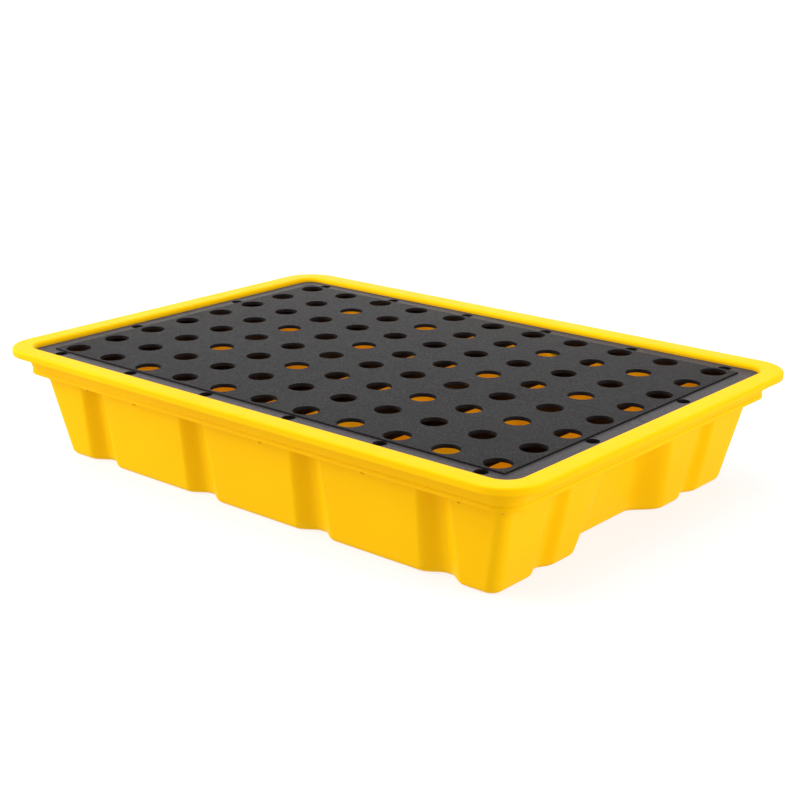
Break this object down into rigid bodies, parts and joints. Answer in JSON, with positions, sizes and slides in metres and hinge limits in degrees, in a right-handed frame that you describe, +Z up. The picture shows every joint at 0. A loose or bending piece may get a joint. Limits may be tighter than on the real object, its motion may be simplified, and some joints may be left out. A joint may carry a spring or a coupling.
{
  "type": "spill containment pallet",
  "caption": "Low rectangular drip tray with a wide lip and fluted walls, covered by a perforated deck in two lift-out panels.",
  "frame": {"origin": "middle of the tray's base, on the surface it stands on", "axes": "+X along the long side, +Y across the short side, +Z up"},
  "size_m": [1, 0.7, 0.175],
  "materials": {
    "tub_plastic": "yellow polyethylene, satin",
    "deck_plastic": "black polyethylene, fine grain"
  },
  "bodies": {
    "tub": {"tub": "tub_plastic"},
    "near_panel": {"deck_panel_near": "deck_plastic"},
    "far_panel": {"deck_panel_far": "deck_plastic"}
  },
  "joints": [
    {"name": "near_lift", "type": "slide", "parent": "tub", "child": "near_panel", "axis": [0, 0, 1], "range_m": [0, 0.15]},
    {"name": "far_lift", "type": "slide", "parent": "tub", "child": "far_panel", "axis": [0, 0, 1], "range_m": [0, 0.15]}
  ]
}
